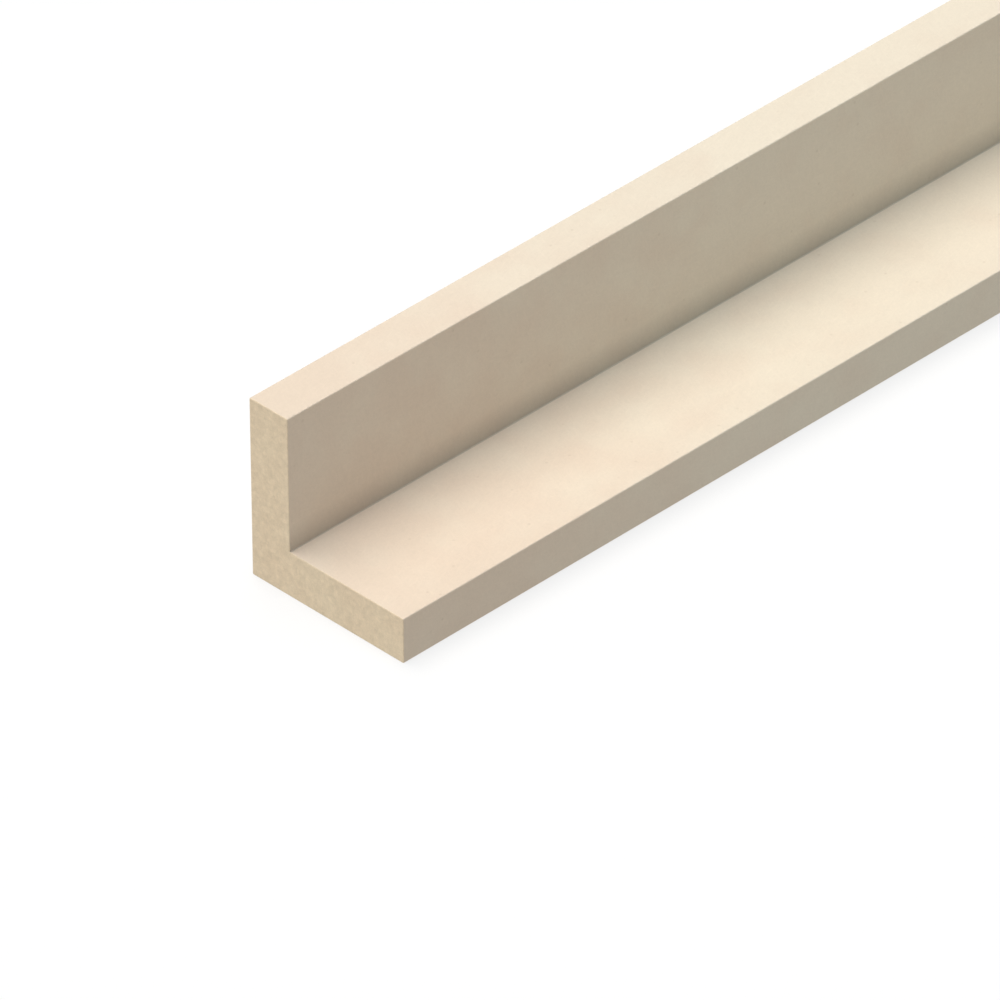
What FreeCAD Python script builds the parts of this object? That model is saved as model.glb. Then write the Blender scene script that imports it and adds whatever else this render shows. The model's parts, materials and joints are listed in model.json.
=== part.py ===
# Corner guard moulding: a straight stick of raw fibreboard with an L-shaped section.
# It is machined from one blank, so it is one solid. Two equal legs meet at a right angle
# and close over the outside corner of a wall.
# It lies as it would on a level floor, with one leg flat and the other standing along its back edge.
# The length runs along X, the flat leg reaches towards -Y and Z is up.
# The origin is on the floor, under the middle of the flat leg, at mid-length. Sizes are in millimetres.

import FreeCAD, Part
import math
import os

# Driving dimensions
length = 2438.4         # one stick as sold, 8 ft
flat_leg = 25.4         # outer width of the leg that lies flat, 1 in
upright_leg = 25.4      # outer height of the leg that stands, 1 in
thickness = 6.35        # both legs, 1/4 in
arris_radius = 0.15     # sanding eases every outer long edge by this much
inside_radius = 0.15    # the rebate cutter leaves this in the inside corner

# Places of the faces, in the section's plane
back = flat_leg / 2
front = back - flat_leg
near_end = -length / 2


def section_point(y, z):
    """A point of the section, on the plane of the sawn end that faces -X."""
    return FreeCAD.Vector(near_end, y, z)


def unit(vector):
    """The vector's direction, with a length of one."""
    return vector / vector.Length


def rounded(before, corner, after, radius):
    """Where an arc of this radius leaves the edge that comes from before, its middle, and where it ends."""
    to_before = unit(before - corner)
    to_after = unit(after - corner)
    half_angle = to_before.getAngle(to_after) / 2
    setback = radius / math.tan(half_angle)
    centre = corner + unit(to_before + to_after) * (radius / math.sin(half_angle))
    middle = centre + unit(corner - centre) * radius
    return corner + to_before * setback, middle, corner + to_after * setback


def section_face():
    """The L-shaped section, with its outer corners eased and its inside corner left by the cutter."""
    corners = [
        (section_point(back, 0), arris_radius),
        (section_point(front, 0), arris_radius),
        (section_point(front, thickness), arris_radius),
        (section_point(back - thickness, thickness), inside_radius),
        (section_point(back - thickness, upright_leg), arris_radius),
        (section_point(back, upright_leg), arris_radius),
    ]
    points = [corner for corner, radius in corners]
    arcs = []
    for index, (corner, radius) in enumerate(corners):
        before = points[index - 1]
        after = points[(index + 1) % len(points)]
        arcs.append(rounded(before, corner, after, radius))
    edges = []
    for index, (start, middle, end) in enumerate(arcs):
        next_start = arcs[(index + 1) % len(arcs)][0]
        edges.append(Part.Arc(start, middle, end).toShape())
        edges.append(Part.LineSegment(end, next_start).toShape())
    return Part.Face(Part.Wire(edges))


def corner_guard():
    """The whole stick: the section drawn out along its length, sawn square at both ends."""
    return section_face().extrude(FreeCAD.Vector(length, 0, 0))


os.makedirs("parts", exist_ok=True)
stick = corner_guard()
stick.exportStep("parts/corner_guard.step")
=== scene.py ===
import json
import math

import bmesh
import bpy
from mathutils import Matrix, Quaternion, Vector, noise


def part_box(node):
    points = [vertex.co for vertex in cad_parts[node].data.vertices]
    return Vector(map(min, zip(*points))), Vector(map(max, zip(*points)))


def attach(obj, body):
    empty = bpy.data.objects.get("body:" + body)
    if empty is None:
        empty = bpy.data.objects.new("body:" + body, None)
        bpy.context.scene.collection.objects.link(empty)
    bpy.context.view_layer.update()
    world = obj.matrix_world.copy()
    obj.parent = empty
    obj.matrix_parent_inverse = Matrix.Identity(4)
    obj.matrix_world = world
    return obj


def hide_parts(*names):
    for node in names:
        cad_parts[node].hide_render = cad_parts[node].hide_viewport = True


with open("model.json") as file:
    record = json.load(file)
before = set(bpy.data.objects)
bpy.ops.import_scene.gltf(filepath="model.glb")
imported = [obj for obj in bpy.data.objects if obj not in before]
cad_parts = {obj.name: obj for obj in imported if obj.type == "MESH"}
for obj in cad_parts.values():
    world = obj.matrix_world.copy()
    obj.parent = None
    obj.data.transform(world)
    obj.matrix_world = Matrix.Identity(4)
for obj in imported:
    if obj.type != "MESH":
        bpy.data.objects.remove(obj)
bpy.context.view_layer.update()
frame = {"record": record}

scene = bpy.context.scene


# Corner guard stick
# One straight length of raw fibreboard, run through a moulder so that two equal legs meet
# at a right angle. The cutter leaves a small radius in the inside corner, sanding eases
# the long edges, and a saw cuts both ends square.
stick_low, stick_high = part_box("corner_guard")
seat_places = {mount["name"]: mount["pos_m"] for mount in frame["record"]["mounts"]}
shelf_height = seat_places["wall_seat_flat_leg"][2]
upright_face = seat_places["wall_seat_standing_leg"][1]
stick_length = stick_high.x - stick_low.x
leg_width = stick_high.y - stick_low.y
edge_radius = 0.00015
edge_steps = 4

section_corners = [
    (stick_high.y, stick_low.z),
    (stick_high.y, stick_high.z),
    (upright_face, stick_high.z),
    (upright_face, shelf_height),
    (stick_low.y, shelf_height),
    (stick_low.y, stick_low.z),
]
stick = bmesh.new()
near_end = stick.faces.new([stick.verts.new((stick_low.x, y, z)) for y, z in section_corners])
drawn_out = bmesh.ops.extrude_face_region(stick, geom=[near_end])["geom"]
far_corners = [part for part in drawn_out if isinstance(part, bmesh.types.BMVert)]
bmesh.ops.translate(stick, verts=far_corners, vec=(stick_length, 0, 0))
bmesh.ops.recalc_face_normals(stick, faces=stick.faces)

long_edges = [edge for edge in stick.edges if edge.calc_length() > stick_length / 2]
bmesh.ops.bevel(
    stick, geom=long_edges, offset=edge_radius, offset_type="OFFSET", affect="EDGES",
    segments=edge_steps, profile=0.5, material=-1,
)

# The stick is marked off in equal lengths, which lie one above another on its bake map.
map_rows = 4
row_length = stick_length / map_rows
for row in range(1, map_rows):
    bmesh.ops.bisect_plane(
        stick, geom=stick.verts[:] + stick.edges[:] + stick.faces[:],
        plane_co=(stick_low.x + row_length * row, 0, 0), plane_no=(1, 0, 0),
    )

# The saw leaves each end's outline slightly worn.
# A face belongs to an end, to its flat or to its worn outline by how far it leans along the stick.
wear_radius = 0.0001
wear_steps = 2
end_lean = 0.5
flat_lean = 0.99
worn_lean = 0.3


def leans_along(face, least):
    """Whether more than this share of a face's normal lies along the stick."""
    return abs(face.normal.x) > least


end_outlines = [
    edge for edge in stick.edges
    if sum(leans_along(face, end_lean) for face in edge.link_faces) == 1
]
bmesh.ops.bevel(
    stick, geom=end_outlines, offset=wear_radius, offset_type="OFFSET", affect="EDGES",
    segments=wear_steps, profile=0.5, material=-1,
)

# Within a narrow rim the saw tears the fibres into a fine relief.
# Each end is cut into squares, and each square into cells that the relief moves.
saw_rim = 0.00025
leg_squares = 3
tear_cells = 48
tear_depth = 0.00003
tear_size = 0.00045
tear_smoothness = 0.7
tear_fineness = 2.0
tear_octaves = 3
half_torn = 0.5


def evenly(start, end, steps):
    """Places at equal steps from start to end, with both of them."""
    return [start + (end - start) * step / steps for step in range(steps + 1)]


cuts_across = evenly(stick_low.y + saw_rim, upright_face + saw_rim, leg_squares)
cuts_across.append(stick_high.y - saw_rim)
cuts_up = [stick_low.z + saw_rim]
cuts_up += evenly(shelf_height - saw_rim, stick_high.z - saw_rim, leg_squares)


def inside_rim(point):
    """Whether a point of an end is in the torn part of either leg."""
    across = cuts_across[0] < point.y < cuts_across[-1]
    up = cuts_up[0] < point.z < cuts_up[-1]
    return across and up and (point.z < cuts_up[1] or point.y > cuts_across[-2])


worn_fillet = edge_radius - (edge_radius + wear_radius) * math.cos(math.radians(45))
for end_place, into_board in ((stick_low.x, 1), (stick_high.x, -1)):
    flat_of_end = [face for face in stick.faces if -face.normal.x * into_board > flat_lean]
    outline_of_end = dict.fromkeys(part for face in flat_of_end for part in (*face.verts, *face.edges))
    sawn_parts = flat_of_end + list(outline_of_end)
    for axis, places in (((0, 1, 0), cuts_across), ((0, 0, 1), cuts_up)):
        for place in places:
            sawn_parts = bmesh.ops.bisect_plane(
                stick, geom=sawn_parts, plane_co=Vector(axis) * place, plane_no=axis,
            )["geom"]
    # The rim turns the inside corner in two pieces, mitred from the torn part to the middle of the fillet.
    mitre = (
        Vector((end_place, cuts_across[-2], cuts_up[1])),
        Vector((end_place, upright_face - worn_fillet, shelf_height + worn_fillet)),
    )
    sawn_verts = [part for part in sawn_parts if isinstance(part, bmesh.types.BMVert)]
    mitre_verts = [min(sawn_verts, key=lambda vert: (vert.co - point).length) for point in mitre]
    bmesh.ops.connect_verts(stick, verts=mitre_verts)
    end_faces = dict.fromkeys(
        face for vert in sawn_verts for face in vert.link_faces if leans_along(face, end_lean)
    )
    torn_faces = [face for face in end_faces if inside_rim(face.calc_center_median())]
    torn_edges = dict.fromkeys(edge for face in torn_faces for edge in face.edges)
    bmesh.ops.subdivide_edges(stick, edges=list(torn_edges), cuts=tear_cells - 1, use_grid_fill=True)
    for vert in stick.verts:
        if abs(vert.co.x - end_place) < saw_rim and inside_rim(vert.co):
            tear = half_torn + noise.fractal(
                vert.co / tear_size, tear_smoothness, tear_fineness, tear_octaves,
            )
            vert.co.x += into_board * tear_depth * min(max(tear, 0), 1)

# The ends are smooth to the eye between their fibres.
# The long faces stay flat, and meet the ends at a sharp edge.
sanded_slot = 0
sawn_slot = 1
stick.normal_update()
for face in stick.faces:
    face.material_index = sawn_slot if leans_along(face, worn_lean) else sanded_slot
    face.smooth = face.material_index == sawn_slot
for edge in stick.edges:
    edge.smooth = len({face.material_index for face in edge.link_faces}) == 1

# The bake map has one square for each end, large because the ends hold the finest pattern.
# Under them each row holds four bands, for the faces that look up, down, back and forward.
bake_map = stick.loops.layers.uv.new("OFBake")
end_square = 0.39
map_gap = 0.004
row_bands = 4
band_height = (1 - end_square) / (map_rows * row_bands)
band_margin = 0.06


def off_rim(place):
    """A place on the bake map, kept a small gap away from the map's own edges."""
    return map_gap + place * (1 - 2 * map_gap)


for face in stick.faces:
    end_left = 0 if face.normal.x < 0 else end_square
    row = int((face.calc_center_median().x - stick_low.x) / row_length)
    looks_up_or_down = abs(face.normal.z) > abs(face.normal.y)
    looks_on = face.normal.z > 0 if looks_up_or_down else face.normal.y > 0
    band = row * row_bands + 2 * looks_up_or_down + looks_on
    for loop in face.loops:
        from_corner = loop.vert.co - stick_low
        across = from_corner.y / leg_width
        up = from_corner.z / leg_width
        if face.material_index == sawn_slot:
            spot = (off_rim(end_left + end_square * across), off_rim(1 - end_square + end_square * up))
        else:
            share = across if looks_up_or_down else up
            share_of_band = band_margin + (1 - 2 * band_margin) * share
            spot = (off_rim(from_corner.x / row_length - row), (band + share_of_band) * band_height)
        loop[bake_map].uv = spot

stick_mesh = bpy.data.meshes.new("fibreboard_stick")
stick.to_mesh(stick_mesh)
stick.free()
stick_piece = bpy.data.objects.new("fibreboard_stick", stick_mesh)
scene.collection.objects.link(stick_piece)


def add_node(tree, kind, inputs, **settings):
    """Adds a shader node. An input, by name or number, is given a value or another node's output."""
    node = tree.nodes.new(kind)
    for name, value in settings.items():
        setattr(node, name, value)
    for name, source in inputs.items():
        if isinstance(source, bpy.types.NodeSocket):
            tree.links.new(source, node.inputs[name])
        else:
            node.inputs[name].default_value = source
    return node


def add_math(tree, operation, *values):
    """Adds a Math node on up to three values, and gives its result."""
    return add_node(tree, "ShaderNodeMath", dict(enumerate(values)), operation=operation).outputs["Value"]


def add_range(tree, value, start, end, low, high, **settings):
    """Adds a node that turns the range from start to end into that from low to high, and stops there."""
    inputs = {"Value": value, "From Min": start, "From Max": end, "To Min": low, "To Max": high}
    return add_node(tree, "ShaderNodeMapRange", inputs, **settings).outputs["Result"]


def add_blend(tree, share, first, second):
    """Adds a node that goes from the first colour to the second as the share goes from 0 to 1."""
    return add_node(tree, "ShaderNodeMix", {0: share, 6: first, 7: second}, data_type="RGBA").outputs[2]


# Fibreboard is a felt of short wood fibres, pressed flat. Bundles of fibres, with finer hairs
# over them, lie in three directions, and the uppermost of each shows.
# The tone drifts in wide, faint patches, and a few specks of bark are pressed in.
fibre_lies = [(0.0, 0.15, 0.35), (0.0, 0.2, 1.2), (0.0, 1.2, -0.4)]
fibre_detail = 2.0
fibre_crispness = 0.45
lowest_fibre = 0.4
highest_fibre = 0.8
half_height = 0.5
hair_width = 0.00012
hair_stretch = 8.0
hair_share = 0.8
patch_size = 0.007
patch_detail = 2.0
patch_crispness = 0.5
patch_start = 0.3
patch_end = 0.7
patch_warmth = 0.25
patch_paleness = 0.012
speck_spacing = 0.003
speck_core = 0.03
speck_rim = 0.09
speck_strength = 0.15
bark_colour = (0.40, 0.29, 0.18, 1)
hollow_roughness = 0.92
fibre_roughness = 0.8
nap_strength = 0.3

fibreboard = bpy.data.node_groups.new("fibreboard", "ShaderNodeTree")
for name, kind in {
    "Place": "Vector", "Width": "Float", "Stretch": "Float", "Contrast": "Float", "Depth": "Float",
    "Colour": "Color", "Warm Colour": "Color", "Warmth": "Float",
}.items():
    fibreboard.interface.new_socket(name, in_out="INPUT", socket_type=f"NodeSocket{kind}")
for name, kind in {"Colour": "Color", "Roughness": "Float", "Normal": "Vector"}.items():
    fibreboard.interface.new_socket(name, in_out="OUTPUT", socket_type=f"NodeSocket{kind}")
given = fibreboard.nodes.new("NodeGroupInput").outputs


def add_fibres(width, stretch):
    """Adds layers of fibres this wide and this stretched, and gives the height of the uppermost."""
    fineness = add_math(fibreboard, "DIVIDE", 1.0, width)
    longer = add_node(fibreboard, "ShaderNodeCombineXYZ", {"X": stretch, "Y": 1.0, "Z": 1.0})
    uppermost = 0.0
    for lie in fibre_lies:
        laid = add_node(
            fibreboard, "ShaderNodeMapping",
            {"Vector": given["Place"], "Rotation": lie, "Scale": longer.outputs["Vector"]},
            vector_type="TEXTURE",
        )
        layer = add_node(fibreboard, "ShaderNodeTexNoise", {
            "Vector": laid.outputs["Vector"], "Scale": fineness,
            "Detail": fibre_detail, "Roughness": fibre_crispness,
        })
        uppermost = add_math(fibreboard, "MAXIMUM", uppermost, layer.outputs["Fac"])
    return add_range(fibreboard, uppermost, lowest_fibre, highest_fibre, -half_height, half_height)


bundles = add_fibres(given["Width"], given["Stretch"])
hairs = add_fibres(hair_width, hair_stretch)
fleck = add_math(fibreboard, "MULTIPLY_ADD", hairs, hair_share, bundles)

patches = add_node(fibreboard, "ShaderNodeTexNoise", {
    "Vector": given["Place"], "Scale": 1 / patch_size,
    "Detail": patch_detail, "Roughness": patch_crispness,
}).outputs["Fac"]
drift = add_range(fibreboard, patches, patch_start, patch_end, -patch_warmth, patch_warmth)
warmth = add_math(fibreboard, "ADD", given["Warmth"], drift)
tone = add_blend(fibreboard, warmth, given["Colour"], given["Warm Colour"])
shade = add_range(fibreboard, patches, patch_start, patch_end, 1 + patch_paleness, 1 - patch_paleness)
brightness = add_math(fibreboard, "MULTIPLY_ADD", fleck, given["Contrast"], shade)
flecked = add_node(fibreboard, "ShaderNodeHueSaturation", {"Color": tone, "Value": brightness})

specks = add_node(
    fibreboard, "ShaderNodeTexVoronoi", {"Vector": given["Place"], "Scale": 1 / speck_spacing},
)
speck = add_range(fibreboard, specks.outputs["Distance"], speck_core, speck_rim, speck_strength, 0.0)
specked = add_blend(fibreboard, speck, flecked.outputs["Color"], bark_colour)

roughness = add_range(fibreboard, fleck, -half_height, half_height, hollow_roughness, fibre_roughness)
nap = add_node(
    fibreboard, "ShaderNodeBump",
    {"Height": fleck, "Strength": nap_strength, "Distance": given["Depth"]},
)
add_node(
    fibreboard, "NodeGroupOutput",
    {"Colour": specked, "Roughness": roughness, "Normal": nap.outputs["Normal"]},
)


def finish_board(material, colour, board, specular):
    """Gives a material its colour, the roughness and nap of the board and a specular level."""
    principled = material.node_tree.nodes["Principled BSDF"].inputs
    material.node_tree.links.new(colour, principled["Base Color"])
    material.node_tree.links.new(board["Roughness"], principled["Roughness"])
    material.node_tree.links.new(board["Normal"], principled["Normal"])
    principled["Specular IOR Level"].default_value = specular
    stick_mesh.materials.append(material)


# The long faces are sanded smooth and pale, with faint flecks. They are a little warmer towards the ends.
# The foot of the upright, next to the inside corner, is painted darker: painted shade, standing in for the
# shade in the corner.
sanded_colour = (0.831, 0.738, 0.599, 1)
sanded_warm_colour = (0.822, 0.682, 0.545, 1)
sanded_fibre_width = 0.0004
sanded_fibre_stretch = 4.0
sanded_contrast = 0.05
sanded_nap = 0.00001
sanded_specular = 0.3
warm_length = 0.085
# Painted shade: how far up the upright the corner is painted darker, how strongly, and the colour it is
# blended towards.
corner_shade_height = 0.0038
corner_shade_strength = 0.22
corner_shade_colour = (0, 0, 0, 1)

sanded = bpy.data.materials.new("sanded_fibreboard")
sanded.use_nodes = True
sanded_tree = sanded.node_tree
sanded_place = add_node(sanded_tree, "ShaderNodeTexCoord", {}).outputs["Object"]
apart = add_node(sanded_tree, "ShaderNodeSeparateXYZ", {"Vector": sanded_place}).outputs
from_middle = add_math(sanded_tree, "ABSOLUTE", apart["X"])
near_an_end = add_range(
    sanded_tree, from_middle, stick_high.x - warm_length, stick_high.x, 0.0, 1.0,
    interpolation_type="SMOOTHSTEP",
)
sanded_board = add_node(
    sanded_tree, "ShaderNodeGroup",
    {
        "Place": sanded_place, "Width": sanded_fibre_width, "Stretch": sanded_fibre_stretch,
        "Contrast": sanded_contrast, "Depth": sanded_nap,
        "Colour": sanded_colour, "Warm Colour": sanded_warm_colour, "Warmth": near_an_end,
    },
    node_tree=fibreboard,
).outputs
# Painted shade: the upright is blended towards black within a few millimetres of the shelf.
over_shelf = add_math(sanded_tree, "SUBTRACT", apart["Z"], shelf_height)
from_shelf = add_math(sanded_tree, "ABSOLUTE", over_shelf)
corner_shade = add_range(sanded_tree, from_shelf, 0.0, corner_shade_height, corner_shade_strength, 0.0)
on_upright = add_math(sanded_tree, "COMPARE", apart["Y"], upright_face, edge_radius)
painted_corner_shade = add_math(sanded_tree, "MULTIPLY", corner_shade, on_upright)
sanded_look = add_blend(sanded_tree, painted_corner_shade, sanded_board["Colour"], corner_shade_colour)
finish_board(sanded, sanded_look, sanded_board, sanded_specular)

# The sawn ends show the cut fibres, so they are tanner and more speckled.
sawn_colour = (0.786, 0.652, 0.470, 1)
sawn_warm_colour = (0.796, 0.634, 0.452, 1)
sawn_warmth = 0.5
sawn_fibre_width = 0.0008
sawn_fibre_stretch = 1.5
sawn_contrast = 0.165
sawn_nap = 0.00003
sawn_specular = 0.2

sawn = bpy.data.materials.new("sawn_fibreboard")
sawn.use_nodes = True
sawn_place = add_node(sawn.node_tree, "ShaderNodeTexCoord", {}).outputs["Object"]
sawn_board = add_node(
    sawn.node_tree, "ShaderNodeGroup",
    {
        "Place": sawn_place, "Width": sawn_fibre_width, "Stretch": sawn_fibre_stretch,
        "Contrast": sawn_contrast, "Depth": sawn_nap,
        "Colour": sawn_colour, "Warm Colour": sawn_warm_colour, "Warmth": sawn_warmth,
    },
    node_tree=fibreboard,
).outputs
finish_board(sawn, sawn_board["Colour"], sawn_board, sawn_specular)

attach(stick_piece, "root")
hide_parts("corner_guard")


# Floor and backdrop
# A plain white studio floor under the stick, with a white world beyond it.
# To the camera they are white, the floor partly by a glow that keeps the stick's shadow faint.
# To the stick they are dimmer: the floor glows evenly and a little warm, and the world is a little cool.
floor_reach = 40.0
floor_white = (0.93, 0.93, 0.93, 1)
floor_glow = 0.7
floor_fill = (0.68, 0.645, 0.596, 1)
dome_colour = (0.75, 0.91, 1.0, 1)
dome_strength = 0.324
full_white = (1, 1, 1, 1)

floor_shape = bmesh.new()
bmesh.ops.create_grid(floor_shape, x_segments=1, y_segments=1, size=floor_reach)
bmesh.ops.translate(floor_shape, verts=floor_shape.verts, vec=(0, 0, stick_low.z))
floor_mesh = bpy.data.meshes.new("floor")
floor_shape.to_mesh(floor_mesh)
floor_shape.free()
floor = bpy.data.objects.new("floor", floor_mesh)
scene.collection.objects.link(floor)


def add_sight(tree):
    """Adds a mask of the rays that show the backdrop: the camera's, and those of gloss and glass."""
    path = add_node(tree, "ShaderNodeLightPath", {}).outputs
    mirrored = add_math(tree, "MAXIMUM", path["Is Glossy Ray"], path["Is Transmission Ray"])
    return add_math(tree, "MAXIMUM", path["Is Camera Ray"], mirrored)


floor_paint = bpy.data.materials.new("floor_paint")
floor_paint.use_nodes = True
floor_tree = floor_paint.node_tree
floor_tree.nodes.remove(floor_tree.nodes["Principled BSDF"])
floor_sight = add_sight(floor_tree)
matt = add_node(floor_tree, "ShaderNodeBsdfDiffuse", {"Color": floor_white})
glow_colour = add_blend(floor_tree, floor_sight, floor_fill, full_white)
glow = add_node(floor_tree, "ShaderNodeEmission", {"Color": glow_colour})
glow_share = add_range(floor_tree, floor_sight, 0.0, 1.0, 1.0, floor_glow)
floor_look = add_node(
    floor_tree, "ShaderNodeMixShader",
    {0: glow_share, 1: matt.outputs["BSDF"], 2: glow.outputs["Emission"]},
)
floor_tree.links.new(floor_look.outputs["Shader"], floor_tree.nodes["Material Output"].inputs["Surface"])
floor_mesh.materials.append(floor_paint)

world = bpy.data.worlds.new("studio")
world.use_nodes = True
world_tree = world.node_tree
world_sight = add_sight(world_tree)
sky = world_tree.nodes["Background"].inputs
world_tree.links.new(add_blend(world_tree, world_sight, dome_colour, full_white), sky["Color"])
world_tree.links.new(add_range(world_tree, world_sight, 0.0, 1.0, dome_strength, 1.0), sky["Strength"])
scene.world = world


# Lights
# Wide soft lamps far off: a warm one high behind the stick, a cool one overhead
# and a low one facing its near end.
# Each has its azimuth, elevation and width in degrees, its strength and its colour.
lamps = {
    "back_lamp": (90, 75, 40, 1.90, (1.0, 0.911, 0.823)),
    "overhead_lamp": (270, 88, 10, 0.556, (0.887, 0.922, 1.0)),
    "end_lamp": (180, 20, 40, 0.97, (1.0, 1.0, 1.0)),
}


def direction(azimuth, elevation):
    """Where these angles point: degrees round from +X towards +Y, and degrees up from level."""
    turn = math.radians(azimuth)
    rise = math.radians(elevation)
    return Vector((math.cos(rise) * math.cos(turn), math.cos(rise) * math.sin(turn), math.sin(rise)))


for name, (azimuth, elevation, width, strength, tint) in lamps.items():
    lamp = bpy.data.objects.new(name, bpy.data.lights.new(name, "SUN"))
    lamp.data.energy = strength
    lamp.data.color = tint
    lamp.data.angle = math.radians(width)
    lamp.rotation_mode = "QUATERNION"
    lamp.rotation_quaternion = direction(azimuth, elevation).to_track_quat("Z", "Y")
    scene.collection.objects.link(lamp)


# Camera
# A long lens looks down on the near end from its front left, as in the photograph.
# The near end's outer low corner is set on the pixel that it has there.
view_azimuth = -134.514
view_elevation = 35.544
view_roll = -0.417
lens_length = 520.3
corner_distance = 1.703
corner_pixel = (252.60, 573.96)
photo_width = 1000

camera = bpy.data.objects.new("camera", bpy.data.cameras.new("camera"))
camera.data.lens = lens_length
scene.collection.objects.link(camera)
level_view = direction(view_azimuth, view_elevation).to_track_quat("Z", "Y")
camera.rotation_mode = "QUATERNION"
camera.rotation_quaternion = level_view @ Quaternion((0, 0, 1), math.radians(view_roll))
lens_in_pixels = lens_length / camera.data.sensor_width * photo_width
corner_in_view = Vector((
    (corner_pixel[0] - photo_width / 2) / lens_in_pixels,
    (photo_width / 2 - corner_pixel[1]) / lens_in_pixels,
    -1,
)) * corner_distance
near_low_corner = Vector((stick_low.x, stick_high.y, stick_low.z))
camera.location = near_low_corner - camera.rotation_quaternion @ corner_in_view
scene.camera = camera

scene.view_settings.view_transform = "Standard"
